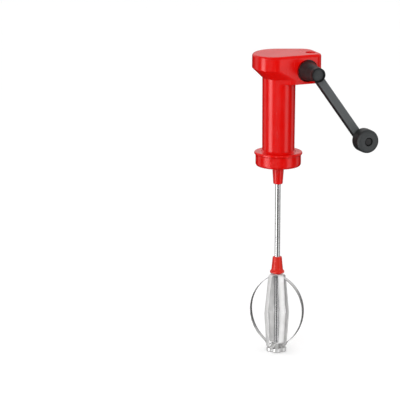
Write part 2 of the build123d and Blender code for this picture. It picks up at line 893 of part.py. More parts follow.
def hub_radius_at(reach):
    """The hub's outer radius on its straight slope, from its base to the arm's eye."""
    share = (reach - hub_base) / (arm_back - hub_base)
    return hub_base_radius + (eye_back_radius - hub_base_radius) * share


def make_crank_hub():
    """The conical hub between the case and the arm."""
    hub = turned(
        (0, hub_base), (hub_base_radius, hub_base), (hub_radius_at(arm_back), arm_back), (0, arm_back)
    )
    hub = fillet(rim_edges(hub, hub_base_radius, hub_base), edge_break)
    return crank_place * (hub - disc(axle_radius, hub_base - past, arm_back + past))


def arm_pockets():
    """The moulded pockets in the arm's back, with ribs left between them."""
    span = arm_throw - arm_pocket_start - arm_pocket_margin
    length = (span - (arm_pocket_count - 1) * arm_rib) / arm_pocket_count
    depth = arm_front - arm_pocket_floor - arm_back
    pockets = []
    for place in range(arm_pocket_count):
        middle = arm_pocket_start + length / 2 + place * (length + arm_rib)
        pocket = Box(length, arm_width - 2 * arm_pocket_wall, depth + past)
        pockets.append(Pos(middle, 0, arm_back + (depth - past) / 2) * pocket)
    return pockets


def make_crank_arm():
    """The crank arm: conical eye, straight bar with a ribbed back, and a round end."""
    thickness = arm_front - arm_back
    bar = Pos(arm_throw / 2, 0) * Rectangle(arm_throw, arm_width) + Pos(arm_throw, 0) * Circle(arm_end_radius)
    arm = slab(bar, arm_back, arm_front)
    arm = fillet(arm.faces().sort_by(Axis.Z)[-1].edges(), arm_edge_radius)
    middle = (arm_back + arm_front) / 2
    arm += Pos(0, 0, middle) * Cone(eye_back_radius, eye_front_radius, thickness)
    for pocket in arm_pockets():
        arm -= pocket
    arm -= disc(axle_radius, arm_back - past, arm_front + past)
    arm -= disc(eye_bore_radius, arm_front - eye_bore_depth, arm_front + past)
    arm -= disc(knob_pin_tail_radius, arm_back - past, arm_front + past, arm_throw)
    return arm_place * arm


def make_hub_screw():
    """The screw that holds the arm and hub on the axle."""
    seat = arm_front - eye_bore_depth
    screw = disc(hub_screw_radius, seat - hub_screw_length, seat)
    screw += disc(hub_screw_head_radius, seat, seat + hub_screw_head_height)
    slot = Box(2 * hub_screw_head_radius, screw_slot_width, 2 * screw_slot_depth)
    return crank_place * (screw - Pos(0, 0, seat + hub_screw_head_height) * slot)


def make_hub_cap():
    """The round cap over the hub's screw."""
    cap = disc(eye_front_radius, arm_front, hub_cap_front)
    cap = fillet(rim_edges(cap, eye_front_radius, hub_cap_front), hub_cap_edge)
    return crank_place * (cap + disc(eye_bore_radius, arm_front - hub_cap_spigot, arm_front))


def make_knob_washer():
    """The washer between the arm and the knob."""
    washer = ring(knob_washer_radius, knob_pin_radius, arm_front, arm_front + knob_washer_thickness)
    return arm_place * Pos(arm_throw, 0, 0) * washer


def make_knob_pin():
    """The shouldered pin that the knob spins on."""
    pin = disc(knob_pin_tail_radius, arm_front - knob_pin_tail_length, arm_front)
    pin += disc(knob_pin_radius, arm_front, knob_shoulder)
    head_end = knob_shoulder + knob_pin_head_height
    head = disc(knob_pin_head_radius, knob_shoulder, head_end)
    head = fillet(rim_edges(head, knob_pin_head_radius, head_end), knob_pin_head_edge)
    return arm_place * Pos(arm_throw, 0, 0) * (pin + head)


def make_knob():
    """The drum-shaped knob, hollowed from its back."""
    knob = disc(knob_radius, knob_back, knob_front)
    knob = fillet(rim_edges(knob, knob_radius, knob_front), knob_edge_radius)
    knob = fillet(rim_edges(knob, knob_radius, knob_back), knob_back_edge_radius)
    knob -= disc(knob_recess_radius, knob_front - knob_recess_depth, knob_front + past)
    knob -= ring(knob_pocket_outer, knob_pocket_inner, knob_back - past, knob_back + knob_pocket_depth)
    knob -= disc(knob_pin_radius + running_clearance, knob_back - past, knob_front)
    return arm_place * Pos(arm_throw, 0, 0) * knob


# ---------------------------------------------------------------- spindle and whisk


def make_drive_rod():
    """The long rod, with a riveted spigot at the foot, a clip groove and a pin hole."""
    top = lid_boss_bottom + rod_top_socket - 3 * end_play
    rod = disc(rod_radius, rod_shoulder, top)
    rod = chamfer(rim_edges(rod, rod_radius, top), rod_top_chamfer)
    rod += disc(rivet_radius, rivet_recess_depth, rod_shoulder)
    groove_top = rod_boss_bottom - end_play
    rod -= ring(rod_radius + past, rod_radius - rod_groove_depth, groove_top - rod_clip_thickness, groove_top)
    return rod - pinion_pin_solid()


def make_rod_clip():
    """The open spring clip in the rod's groove, under the upper bush."""
    top = rod_boss_bottom - end_play
    clip = ring(rod_clip_radius, rod_radius - rod_groove_depth, top - rod_clip_thickness, top)
    return clip - Pos(rod_clip_radius, 0, top) * Box(2 * rod_clip_radius, rod_radius, 4 * rod_clip_thickness)


def make_whisk_cone():
    """The plastic cone that carries the tops of the whisk's strips."""
    flange_top_z = cone_bottom + cone_flange_thickness
    cone = turned(
        (0, cone_bottom),
        (cone_flange_radius, cone_bottom),
        (cone_flange_radius, cone_bottom + cone_flange_rim),
        (cone_waist_radius, flange_top_z),
        (cone_top_radius, cone_top),
        (0, cone_top),
    )
    cone = fillet(rim_edges(cone, cone_top_radius, cone_top), edge_break)
    cone += disc(cone_neck_radius, neck_seat, cone_bottom)
    return cone - disc(rod_radius, neck_seat - past, cone_top + past)


def strip_loop(outline, turn, top_seat):
    """A flat steel strip bent along an outline, drilled for the rod and the rivet."""
    band = outline - offset(outline, -strip_thickness)
    loop = Rot(90, 0, 0) * extrude(band, strip_width / 2, both=True)
    middle = (rod_shoulder + top_seat) / 2
    loop -= disc(rod_radius, middle, top_seat + past)
    loop -= disc(rivet_radius, 0, middle)
    return Rot(0, 0, turn) * loop


def make_whisk_outer_loop():
    """The wide oval loop: two arcs each side, a flat top and a dip at the foot."""
    top = strip_seats[2]
    seat = foot_boss_height + strip_thickness
    upper_x = outer_radius - outer_upper_arc
    lower_x = outer_radius - outer_lower_arc
    shoulder_height = outer_widest_height + sqrt(outer_upper_arc**2 - (outer_arc_start - upper_x) ** 2)
    end_height = outer_widest_height - sqrt(outer_lower_arc**2 - (outer_arc_end - lower_x) ** 2)
    widest = (outer_radius, outer_widest_height)
    half_up = asin((shoulder_height - outer_widest_height) / outer_upper_arc) / 2
    half_down = asin((outer_widest_height - end_height) / outer_lower_arc) / 2
    upper_middle = (
        upper_x + outer_upper_arc * cos(half_up), outer_widest_height + outer_upper_arc * sin(half_up)
    )
    lower_middle = (
        lower_x + outer_lower_arc * cos(half_down), outer_widest_height - outer_lower_arc * sin(half_down)
    )
    half = [
        Line((0, top), (outer_top_reach, top)),
        Line((outer_top_reach, top), (outer_arc_start, shoulder_height)),
        ThreePointArc((outer_arc_start, shoulder_height), upper_middle, widest),
        ThreePointArc(widest, lower_middle, (outer_arc_end, end_height)),
        Line((outer_arc_end, end_height), (outer_dip_outer, outer_dip_height)),
        Line((outer_dip_outer, outer_dip_height), (outer_dip_inner, outer_dip_height)),
        Line((outer_dip_inner, outer_dip_height), (outer_seat_reach, seat)),
        Line((outer_seat_reach, seat), (0, seat)),
    ]
    corners = [
        (outer_top_reach, top, outer_top_corner),
        (outer_dip_outer, outer_dip_height, outer_dip_corner),
        (outer_dip_inner, outer_dip_height, outer_dip_corner),
        (outer_seat_reach, seat, outer_dip_corner),
    ]
    return strip_loop(rounded_outline(half, corners), outer_loop_turn, top)


def rounded_outline(half, corners):
    """Mirror half an outline, close it and round its named corners on both sides."""
    other = [edge.mirror(Plane.YZ) for edge in half]
    outline = make_face([*half, *other])
    for x, z, radius in corners:
        for side in (1, -1):
            outline = fillet(corner_at(outline, side * x, z), radius)
    return outline


def straight_outline(points, corners):
    """Half an inner loop, as straight runs between points, with rounded corners."""
    half = [Line(start, end) for start, end in zip(points, points[1:])]
    return rounded_outline(half, corners)


def make_whisk_inner_loop_a():
    """A narrow kinked loop whose foot dips below the outer loop's."""
    top = strip_seats[1]
    seat = foot_boss_height
    points = [
        (0, top),
        (inner_top_reach, top),
        (inner_kink_reach, inner_kink_height),
        (inner_a_bottom_reach, inner_a_dip_height),
        (inner_a_dip_inner, inner_a_dip_height),
        (inner_a_seat_reach, seat),
        (0, seat),
    ]
    radii = [inner_top_corner, inner_kink_corner, inner_bottom_corner, inner_a_dip_corner, inner_a_dip_corner]
    corners = [(x, z, radius) for (x, z), radius in zip(points[1:-1], radii)]
    return strip_loop(straight_outline(points, corners), inner_loop_a_turn, top)


def make_whisk_inner_loop_b():
    """A narrow kinked loop that crosses the first, with a flat foot above the others."""
    top = strip_seats[0]
    seat = foot_boss_height + 2 * strip_thickness
    points = [
        (0, top),
        (inner_top_reach, top),
        (inner_kink_reach, inner_kink_height),
        (inner_b_bottom_reach, seat),
        (0, seat),
    ]
    radii = [inner_top_corner, inner_kink_corner, inner_bottom_corner]
    corners = [(x, z, radius) for (x, z), radius in zip(points[1:-1], radii)]
    return strip_loop(straight_outline(points, corners), inner_loop_b_turn, top)


def make_whisk_washer():
    """The pressed-on washer that holds the strips up against the cone."""
    top = strip_seats[2] - strip_thickness
    return ring(whisk_washer_radius, rod_radius, top - whisk_washer_thickness, top)


def foot_plan():
    """The foot from above: round lobes about the rod."""
    plan = Circle(foot_lobe_offset)
    for place in PolarLocations(foot_lobe_offset, foot_lobes):
        plan += place * Circle(foot_lobe_radius)
    return plan


def make_whisk_foot():
    """The lobed steel cup that the blender stands on, with its post for the strips."""
    cup = slab(foot_plan(), 0, foot_wall_height)
    cup = fillet(cup.faces().sort_by(Axis.Z)[0].edges(), foot_edge_radius)
    cup -= slab(offset(foot_plan(), -foot_wall), foot_floor, foot_wall_height + past)
    cup += disc(foot_pad_radius, foot_floor / 2, foot_pad_height)
    cup += disc(foot_boss_radius, foot_floor / 2, foot_boss_height)
    cup -= disc(rivet_head_diameter / 2 + seat_clearance, -past, rivet_recess_depth)
    cup -= disc(rivet_radius, -past, foot_boss_height + past)
    return Rot(0, 0, foot_turn) * cup


def make_foot_rivet():
    """The formed head that closes the rod's spigot under the foot."""
    top = rivet_recess_depth
    head = disc(rivet_head_diameter / 2, top - rivet_head_thickness, top)
    return fillet(rim_edges(head, rivet_head_diameter / 2, top - rivet_head_thickness), rivet_edge_radius)


def make_pinion_pin():
    """The pin that locks the rod pinion to the rod."""
    return pinion_pin_solid()


def make_bevel_pin():
    """The pin that locks the larger bevel gear to the crank's axle."""
    return crank_place * bevel_pin_solid()


sub_parts = {
    "body_shell": make_body_shell,
    "top_cover": make_top_cover,
    "oil_plug": make_oil_plug,
    "case_screws": make_case_screws,
    "bottom_cap": make_bottom_cap,
    "rod_upper_bush": make_rod_upper_bush,
    "rod_lower_bush": make_rod_lower_bush,
    "nozzle_seal": make_nozzle_seal,
    "crank_bush": make_crank_bush,
    "lay_washer": make_lay_washer,
    "crank_hub": make_crank_hub,
    "crank_arm": make_crank_arm,
    "hub_cap": make_hub_cap,
    "hub_screw": make_hub_screw,
    "crank_axle": make_crank_axle,
    "crank_bevel": make_crank_bevel,
    "bevel_pin": make_bevel_pin,
    "knob_washer": make_knob_washer,
    "knob_pin": make_knob_pin,
    "knob": make_knob,
    "lay_shaft": make_lay_shaft,
    "lay_bevel": make_lay_bevel,
    "lay_gear": make_lay_gear,
    "drive_rod": make_drive_rod,
    "rod_pinion": make_rod_pinion,
    "pinion_pin": make_pinion_pin,
    "rod_clip": make_rod_clip,
    "whisk_cone": make_whisk_cone,
    "whisk_outer_loop": make_whisk_outer_loop,
    "whisk_inner_loop_a": make_whisk_inner_loop_a,
    "whisk_inner_loop_b": make_whisk_inner_loop_b,
    "whisk_washer": make_whisk_washer,
    "whisk_foot": make_whisk_foot,
    "foot_rivet": make_foot_rivet,
}

os.makedirs("parts", exist_ok=True)
for name, make in sub_parts.items():
    export_step(make(), f"parts/{name}.step")
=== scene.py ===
"""Hand crank blender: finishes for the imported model, its rolled steel strips and a plain studio."""

import json
from math import cos, radians, sin

import bpy
from mathutils import Matrix, Vector


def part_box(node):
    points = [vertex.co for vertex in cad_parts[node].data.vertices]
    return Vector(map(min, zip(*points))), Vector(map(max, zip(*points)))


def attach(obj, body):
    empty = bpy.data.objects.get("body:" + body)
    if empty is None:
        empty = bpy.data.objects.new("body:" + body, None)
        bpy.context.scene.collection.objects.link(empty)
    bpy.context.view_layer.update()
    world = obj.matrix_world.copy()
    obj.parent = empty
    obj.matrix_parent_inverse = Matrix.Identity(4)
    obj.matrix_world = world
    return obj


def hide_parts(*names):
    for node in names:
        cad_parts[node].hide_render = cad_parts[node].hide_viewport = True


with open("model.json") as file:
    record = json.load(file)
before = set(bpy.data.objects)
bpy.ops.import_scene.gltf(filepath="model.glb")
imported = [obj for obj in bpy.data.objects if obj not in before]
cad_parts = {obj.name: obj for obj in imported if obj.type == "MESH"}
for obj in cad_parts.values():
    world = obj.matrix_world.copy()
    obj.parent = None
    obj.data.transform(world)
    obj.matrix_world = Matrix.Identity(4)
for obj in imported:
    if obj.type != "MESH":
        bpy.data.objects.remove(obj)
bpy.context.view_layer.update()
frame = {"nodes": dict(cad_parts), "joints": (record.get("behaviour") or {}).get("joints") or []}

bl_info = {
    "name": "Hand Crank Blender",
    "version": (1, 0, 0),
    "blender": (4, 5, 0),
    "location": "3D View > Sidebar > Crank Blender",
    "description": "Dresses a hand crank blender and sets up a plain studio for it",
    "category": "Object",
}

# The nodes that take each finish, and the new strip that stands for each of the whisk's loops.
STRIPS = {
    "whisk_outer_loop": "outer_strip",
    "whisk_inner_loop_a": "inner_strip_a",
    "whisk_inner_loop_b": "inner_strip_b",
}
RED_NODES = ("body_shell", "top_cover", "oil_plug", "bottom_cap")
BLACK_NODES = ("crank_hub", "crank_arm", "knob")
ROD_NODES = ("drive_rod", "crank_axle", "lay_shaft")
NYLON_NODES = ("crank_bevel", "lay_bevel", "lay_gear", "rod_pinion", "knob_washer")
BRONZE_NODES = ("rod_upper_bush", "rod_lower_bush", "crank_bush")
FASTENER_NODES = (
    "case_screws", "hub_screw", "bevel_pin", "pinion_pin", "rod_clip",
    "whisk_washer", "foot_rivet", "lay_washer",
)

# Where the mouldings are rubbed: radii of their rims, in metres.
GUARD_RIM_RADIUS = 0.0268
CUP_RIM_RADIUS = 0.0250
CONE_RIM_RADIUS = 0.0080
ARM_EYE_RADIUS = 0.0081
BLACK_RIM_INSET = 0.0008

# Painted shade round the crank's hub: a dark ring painted into the red where the gap would lie in
# shadow. It fades out between two values of Y, past the near side.
HUB_GAP_WIDTH = 0.0012
HUB_GAP_INNER_FADE = 0.0003
HUB_GAP_OUTER_FADE = 0.0002
NEAR_SIDE_END = (-0.016, -0.012)
GAP_PAINTED_SHADE = (0.012, 0.003, 0.003, 1.0)

# How far behind the front of a black piece its paler tone reaches: painted light that stands in for
# the light falling on the front.
FRONT_FADE = 0.0008
KNOB_FRONT_FADE = 0.0045
CAP_FRONT_FADE = 0.0001

# Roughness that these pieces have beyond the rest of their material.
CONE_EXTRA_BLUR = 0.04
SATIN_EXTRA_BLUR = 0.08
FOOT_EXTRA_BLUR = 0.1

# The hub's cap: its mesh; the part of the black that its rim keeps, a painted shade; and its dish's
# extra paleness, a painted light.
CAP_SIDES = 72
CAP_EDGE_SEGMENTS = 3
CAP_EDGE_ANGLE = radians(40.0)
CAP_RIM_SHADE_TONE = 0.5
CAP_DISH_LIGHT_TONE = 1.2
FACES_FRONT = -0.9

# Mesh work: loose triangles are joined within a distance, and flat ones dissolved under an angle.
MERGE_DISTANCE = 0.000002
FLAT_ANGLE = radians(0.5)
STRIP_EDGE_ANGLE = radians(50.0)
SMOOTH_ANGLE = radians(35.0)
SIDEWAYS = (radians(90.0), 0.0, 0.0)

# The studio. A panel has a name, degrees from the camera's side, its bottom, top and width, the
# setting with its strength, and whether it shows in gloss or only gives light.
IMAGE_SIDE = 400
SENSOR_WIDTH = 36.0
VIEW_END = 200.0
FLOOR_SIDE = 120.0
FLOOR_DROP = 0.0002
SEEN_WHITE = 1.05
WHITE = (1.0, 1.0, 1.0, 1.0)
UNLIT = (0.0, 0.0, 0.0, 1.0)
PANEL_DISTANCE = 0.8
PANEL_BRIGHT_SHARE = 0.15
PANELS = (
    ("left_soft_box", -60.0, -0.9, 0.9, 0.6, "left_box", True),
    ("right_soft_box", 57.0, -0.9, 0.3, 0.56, "right_box", True),
    ("far_left_card", -112.0, -0.9, 0.9, 0.5, "side_cards", True),
    ("far_right_card", 112.0, -0.9, 0.9, 0.5, "side_cards", True),
    ("front_light", -15.0, -0.1, 1.3, 1.2, "front_light", False),
)


# ---------------------------------------------------------------- settings


class FinishSettings(bpy.types.PropertyGroup):
    """Colours and surfaces of the blender's materials."""

    red: bpy.props.FloatVectorProperty(
        name="Red", description="Colour of the head, grip and cap", subtype="COLOR", size=4,
        min=0.0, max=1.0, default=(0.74, 0.0016, 0.0002, 1.0),
    )
    cone_red: bpy.props.FloatVectorProperty(
        name="Cone Red", description="Colour of the cone above the whisk", subtype="COLOR", size=4,
        min=0.0, max=1.0, default=(0.70, 0.014, 0.004, 1.0),
    )
    black: bpy.props.FloatVectorProperty(
        name="Black", description="Colour of the crank and knob", subtype="COLOR", size=4,
        min=0.0, max=1.0, default=(0.0155, 0.0165, 0.017, 1.0),
    )
    # Painted light: how much paler the arm's front face is painted.
    arm_paleness: bpy.props.FloatProperty(
        name="Arm Paleness", description="How much paler the arm is on its front face",
        min=1.0, max=12.0, default=6.3,
    )
    # Painted light: how much paler the fronts of the hub, the cap's dish and the knob are painted.
    front_paleness: bpy.props.FloatProperty(
        name="Front Paleness",
        description="How much paler the hub, its cap's dish and the knob are in front",
        min=1.0, max=12.0, default=3.3,
    )
    steel: bpy.props.FloatVectorProperty(
        name="Strip Steel", description="Colour of the whisk's outer strip", subtype="COLOR",
        size=4, min=0.0, max=1.0, default=(0.74, 0.735, 0.73, 1.0),
    )
    satin_steel: bpy.props.FloatVectorProperty(
        name="Satin Steel", description="Colour of the whisk's inner strips and foot",
        subtype="COLOR", size=4, min=0.0, max=1.0, default=(0.93, 0.925, 0.92, 1.0),
    )
    rod_steel: bpy.props.FloatVectorProperty(
        name="Rod Steel", description="Colour of the rod and the shafts", subtype="COLOR", size=4,
        min=0.0, max=1.0, default=(0.80, 0.80, 0.81, 1.0),
    )
    red_roughness: bpy.props.FloatProperty(
        name="Red Roughness", description="How soft the highlights on the red plastic are",
        subtype="FACTOR", min=0.0, max=1.0, default=0.2,
    )
    black_roughness: bpy.props.FloatProperty(
        name="Black Roughness", description="How dull the black plastic is",
        subtype="FACTOR", min=0.0, max=1.0, default=0.46,
    )
    steel_roughness: bpy.props.FloatProperty(
        name="Steel Roughness", description="How blurred the steel's reflections are",
        subtype="FACTOR", min=0.0, max=1.0, default=0.16,
    )


class StripSettings(bpy.types.PropertyGroup):
    """Rolled edges of the whisk's strips."""

    edge_rounding: bpy.props.FloatProperty(
        name="Edge Rounding", description="Radius along the edges of the steel strips",
        subtype="DISTANCE", unit="LENGTH", min=0.0, max=0.0003, default=0.00018, precision=5,
    )
    edge_segments: bpy.props.IntProperty(
        name="Edge Segments", description="Faces across each rounded edge",
        min=1, max=6, default=3,
    )


class CapSettings(bpy.types.PropertyGroup):
    """The dished cap on the crank's hub."""

    cap_lip: bpy.props.FloatProperty(
        name="Cap Lip", description="How far the cap's rim stands out in front",
        subtype="DISTANCE", unit="LENGTH", min=0.0, max=0.004, default=0.0028, precision=5,
    )
    cap_rim: bpy.props.FloatProperty(
        name="Cap Rim", description="Thickness of the rim",
        subtype="DISTANCE", unit="LENGTH", min=0.0003, max=0.003, default=0.0011, precision=5,
    )
    cap_dish: bpy.props.FloatProperty(
        name="Cap Dish", description="Depth of the dish inside the rim",
        subtype="DISTANCE", unit="LENGTH", min=0.0003, max=0.004, default=0.0034, precision=5,
    )
    cap_edge: bpy.props.FloatProperty(
        name="Cap Edge", description="Rounding of the cap's edges",
        subtype="DISTANCE", unit="LENGTH", min=0.0, max=0.0005, default=0.0003, precision=5,
    )


class StudioSettings(bpy.types.PropertyGroup):
    """Camera and light."""

    azimuth: bpy.props.FloatProperty(
        name="Azimuth", description="Side that the camera looks from",
        subtype="ANGLE", unit="ROTATION", default=radians(-24.0),
    )
    elevation: bpy.props.FloatProperty(
        name="Elevation", description="Height of the camera over the object",
        subtype="ANGLE", unit="ROTATION", default=radians(12.5),
    )
    roll: bpy.props.FloatProperty(
        name="Roll", description="Tilt of the camera about its own line of sight",
        subtype="ANGLE", unit="ROTATION", default=radians(0.35),
    )
    distance: bpy.props.FloatProperty(
        name="Distance", description="From the camera to the spindle",
        subtype="DISTANCE", unit="LENGTH", default=5.6,
    )
    pixel: bpy.props.FloatProperty(
        name="Pixel Size", description="Width of one pixel of the picture, at the spindle",
        subtype="DISTANCE", unit="LENGTH", default=0.001115, precision=6,
    )
    look_height: bpy.props.FloatProperty(
        name="Look Height", description="Height on the spindle that the framing is set from",
        subtype="DISTANCE", unit="LENGTH", default=0.1699,
    )
    look_pixel: bpy.props.FloatVectorProperty(
        name="Look Pixel", description="Where that point lies in the picture, right and down",
        size=2, default=(277.8, 202.7),
    )
    sky: bpy.props.FloatProperty(
        name="Sky", description="Strength of the soft light from above", min=0.0, default=0.95,
    )
    sky_below: bpy.props.FloatProperty(
        name="Sky Below", description="Strength of the soft light from below",
        min=0.0, default=0.6,
    )
    sky_gloss: bpy.props.FloatProperty(
        name="Sky Gloss", description="How bright the room looks in glossy surfaces",
        min=0.0, default=0.015,
    )
    backdrop_gloss: bpy.props.FloatProperty(
        name="Backdrop Gloss", description="How bright the backdrop looks in glossy surfaces",
        min=0.0, default=0.8,
    )
    left_box: bpy.props.FloatProperty(
        name="Left Soft Box", description="Strength of the left highlight",
        min=0.0, default=4.1,
    )
    right_box: bpy.props.FloatProperty(
        name="Right Soft Box", description="Strength of the right highlight",
        min=0.0, default=1.4,
    )
    side_cards: bpy.props.FloatProperty(
        name="Side Cards", description="Strength of the cards that brighten the outlines",
        min=0.0, default=0.6,
    )
    front_light: bpy.props.FloatProperty(
        name="Front Light",
        description="Strength of the light from the front, which has no highlight",
        min=0.0, default=2.6,
    )


# ---------------------------------------------------------------- shader helpers


def add(tree, kind, sockets=None, **settings):
    """Adds a node, sets its options, and links or fills its sockets."""
    node = tree.nodes.new(kind)
    for key, value in settings.items():
        setattr(node, key, value)
    for key, value in (sockets or {}).items():
        if isinstance(value, bpy.types.NodeSocket):
            tree.links.new(value, node.inputs[key])
        else:
            node.inputs[key].default_value = value
    return node


def start_group(name, inputs, outputs):
    """An empty node group with named sockets; returns it with its two ends."""
    group = bpy.data.node_groups.new(name, "ShaderNodeTree")
    for label, kind, default in inputs:
        socket = group.interface.new_socket(label, in_out="INPUT", socket_type=kind)
        if default is not None:
            socket.default_value = default
    for label, kind in outputs:
        group.interface.new_socket(label, in_out="OUTPUT", socket_type=kind)
    return group, add(group, "NodeGroupInput").outputs, add(group, "NodeGroupOutput")


def use_group(tree, name, sockets):
    """Places a shared node group in a material and returns its outputs."""
    return add(tree, "ShaderNodeGroup", sockets, node_tree=bpy.data.node_groups[name]).outputs


def span(tree, value, low, high, to_low=0.0, to_high=1.0):
    """Rescales a value from one range to another, held at both ends."""
    return add(
        tree, "ShaderNodeMapRange",
        {"Value": value, "From Min": low, "From Max": high, "To Min": to_low, "To Max": to_high},
        interpolation_type="SMOOTHSTEP",
    ).outputs["Result"]


def calc(tree, operation, *values):
    """One math node."""
    return add(
        tree, "ShaderNodeMath", dict(enumerate(values)), operation=operation
    ).outputs[0]


def vector_calc(tree, operation, *values):
    """One vector math node."""
    return add(
        tree, "ShaderNodeVectorMath", dict(enumerate(values)), operation=operation
    ).outputs


def noise(tree, place, scale, detail=3.0, roughness=0.5):
    """The value of a noise texture."""
    return add(
        tree, "ShaderNodeTexNoise",
        {"Vector": place, "Scale": scale, "Detail": detail, "Roughness": roughness},
    ).outputs[0]


def between(tree, share, first, second):
    """A number between two others."""
    return add(
        tree, "ShaderNodeMix", {0: share, 2: first, 3: second}, data_type="FLOAT"
    ).outputs[0]


def mixed(tree, share, first, second):
    """A colour between two others."""
    return add(
        tree, "ShaderNodeMix", {0: share, 6: first, 7: second}, data_type="RGBA"
    ).outputs[2]


def coordinate(tree, place, axis):
    """One coordinate of a place."""
    return add(tree, "ShaderNodeSeparateXYZ", {0: place}).outputs[axis]


def axis_distance(tree, place):
    """How far a place lies from the Z axis."""
    flat = vector_calc(tree, "MULTIPLY", place, (1.0, 1.0, 0.0))[0]
    return vector_calc(tree, "LENGTH", flat)["Value"]


def axis_frame(tree, place, centre):
    """Coordinates about a centre on the crank's or knob's axis, which then lies along Z."""
    moved = vector_calc(tree, "SUBTRACT", place, centre)[0]
    return add(tree, "ShaderNodeMapping", {"Vector": moved, "Rotation": SIDEWAYS}).outputs[0]


def darker(color, share):
    """A colour times a share: a darker tone, or a paler one where the share is over 1."""
    return (*[value * share for value in color[:3]], 1.0)


# ---------------------------------------------------------------- shared effects


def build_moulded_skin():
    """Moulded plastic: slow waves, a fine spark-eroded grain and dull patches from handling."""
    group, given, out = start_group(
        "moulded skin",
        [
            ("Vector", "NodeSocketVector", None),
            ("Wave Scale", "NodeSocketFloat", 160.0),
            ("Grain Scale", "NodeSocketFloat", 2400.0),
            ("Grain Share", "NodeSocketFloat", 0.3),
            ("Polish", "NodeSocketFloat", 0.27),
            ("Spread", "NodeSocketFloat", 0.06),
        ],
        [("Height", "NodeSocketFloat"), ("Roughness", "NodeSocketFloat")],
    )
    wave = noise(group, given["Vector"], given["Wave Scale"], detail=2.0)
    grain = noise(group, given["Vector"], given["Grain Scale"], detail=2.0)
    height = between(group, given["Grain Share"], wave, grain)
    handled = noise(group, given["Vector"], 38.0, detail=4.0, roughness=0.6)
    patches = span(group, handled, 0.35, 0.7, to_low=-1.0)
    change = calc(group, "MULTIPLY", patches, given["Spread"])
    group.links.new(height, out.inputs["Height"])
    group.links.new(calc(group, "ADD", given["Polish"], change), out.inputs["Roughness"])


def build_colour_drift():
    """Slow changes of a colour, as flow and pigment leave in a moulding."""
    group, given, out = start_group(
        "colour drift",
        [
            ("Vector", "NodeSocketVector", None),
            ("Color", "NodeSocketColor", (0.5, 0.5, 0.5, 1.0)),
            ("Other", "NodeSocketColor", (0.4, 0.4, 0.4, 1.0)),
            ("Scale", "NodeSocketFloat", 22.0),
        ],
        [("Color", "NodeSocketColor")],
    )
    flow = noise(group, given["Vector"], given["Scale"], detail=5.0, roughness=0.55)
    share = span(group, flow, 0.3, 0.72)
    group.links.new(mixed(group, share, given["Color"], given["Other"]), out.inputs["Color"])


def build_rim_rub():
    """Rubbed patches in a band round an axis along Z, at one radius."""
    group, given, out = start_group(
        "rim rub",
        [
            ("Vector", "NodeSocketVector", None),
            ("Radius", "NodeSocketFloat", GUARD_RIM_RADIUS),
            ("Width", "NodeSocketFloat", 0.0006),
            ("Patch Scale", "NodeSocketFloat", 260.0),
        ],
        [("Mask", "NodeSocketFloat")],
    )
    reach = axis_distance(group, given["Vector"])
    away = calc(group, "ABSOLUTE", calc(group, "SUBTRACT", reach, given["Radius"]))
    band = calc(group, "SUBTRACT", 1.0, calc(group, "DIVIDE", away, given["Width"]))
    rubbed = noise(group, given["Vector"], given["Patch Scale"], detail=4.0, roughness=0.65)
    patch = span(group, rubbed, 0.48, 0.62)
    mask = calc(group, "MULTIPLY", add(group, "ShaderNodeClamp", {0: band}).outputs[0], patch)
    group.links.new(mask, out.inputs["Mask"])


def build_fine_scratches():
    """Hairline scratches and scuffs, as a mask from 0 to 1."""
    group, given, out = start_group(
        "fine scratches",
        [("Vector", "NodeSocketVector", None), ("Scale", "NodeSocketFloat", 60.0)],
        [("Mask", "NodeSocketFloat")],
    )
    total = None
    for turn, stretch in ((0.35, 9.0), (1.9, 7.0)):
        turned = add(
            group, "ShaderNodeMapping",
            {
                "Vector": given["Vector"],
                "Rotation": (turn, turn * 0.7, turn * 1.3),
                "Scale": (stretch, stretch, 0.35),
            },
        ).outputs[0]
        line = span(group, noise(group, turned, given["Scale"], detail=1.0), 0.70, 0.78)
        total = line if total is None else calc(group, "MAXIMUM", total, line)
    broken = span(group, noise(group, given["Vector"], given["Scale"]), 0.45, 0.65)
    group.links.new(calc(group, "MULTIPLY", total, broken), out.inputs["Mask"])


def build_drawn_streaks():
    """Streaks along Z that rolling, drawing or grinding leaves in steel."""
    group, given, out = start_group(
        "drawn streaks",
        [
            ("Vector", "NodeSocketVector", None),
            ("Across", "NodeSocketFloat", 2600.0),
            ("Along", "NodeSocketFloat", 26.0),
            ("Polish", "NodeSocketFloat", 0.16),
            ("Spread", "NodeSocketFloat", 0.05),
        ],
        [("Height", "NodeSocketFloat"), ("Roughness", "NodeSocketFloat")],
    )
    scales = add(
        group, "ShaderNodeCombineXYZ",
        {0: given["Across"], 1: given["Across"], 2: given["Along"]},
    ).outputs[0]
    placed = vector_calc(group, "MULTIPLY", given["Vector"], scales)[0]
    streak = noise(group, placed, 1.0, roughness=0.6)
    cloud = noise(group, given["Vector"], 120.0)
    uneven = calc(group, "SUBTRACT", calc(group, "ADD", streak, cloud), 1.0)
    change = calc(group, "MULTIPLY", uneven, given["Spread"])
    group.links.new(streak, out.inputs["Height"])
    group.links.new(calc(group, "ADD", given["Polish"], change), out.inputs["Roughness"])


# ---------------------------------------------------------------- materials


def blank_material(name, **sockets):
    """A new material; returns it, its tree, its shader and the object's own coordinates."""
    material = bpy.data.materials.new(name)
    material.use_nodes = True
    tree = material.node_tree
    shader = tree.nodes["Principled BSDF"]
    for key, value in sockets.items():
        shader.inputs[key.replace("_", " ")].default_value = value
    place = add(tree, "ShaderNodeTexCoord").outputs["Object"]
    return material, tree, shader, place


def bump(tree, shader, height, strength, distance):
    """Feeds a height to the shader's normal."""
    node = add(
        tree, "ShaderNodeBump", {"Height": height, "Strength": strength, "Distance": distance}
    )
    tree.links.new(node.outputs[0], shader.inputs["Normal"])


